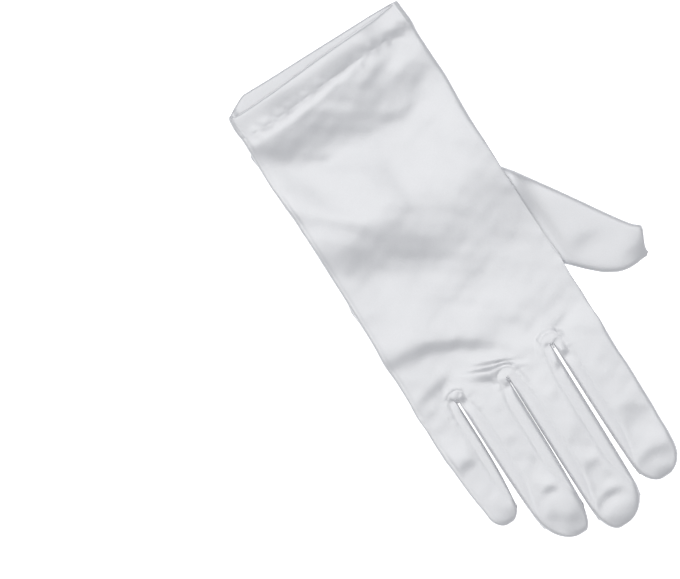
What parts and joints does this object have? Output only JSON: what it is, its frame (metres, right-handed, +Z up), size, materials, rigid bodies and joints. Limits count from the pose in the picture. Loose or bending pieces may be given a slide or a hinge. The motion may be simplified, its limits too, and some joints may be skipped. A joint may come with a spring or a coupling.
{
  "type": "dress glove",
  "caption": "Wrist length satin dress glove for a right hand, lying on its palm: cloth shell, side strips between fingers, thumb folded under, stitched hem.",
  "frame": {"origin": "middle of the underside of the glove's box, on the surface that it lies on", "axes": "+X towards the thumb side, +Y from the fingertips towards the wrist opening, +Z up, out of the back of the hand"},
  "size_m": [0.1216, 0.2332, 0.014],
  "materials": {
    "satin": "white satin, smooth sheen, fine close weave",
    "hem_satin": "white satin turned double, with one row of stitching"
  },
  "bodies": {
    "root": {"back_panel": "satin", "palm_panel": "satin", "fourchette_ring_little": "satin", "fourchette_middle_ring": "satin", "fourchette_index_middle": "satin", "thumb": "satin", "cuff_hem": "hem_satin"}
  },
  "joints": []
}
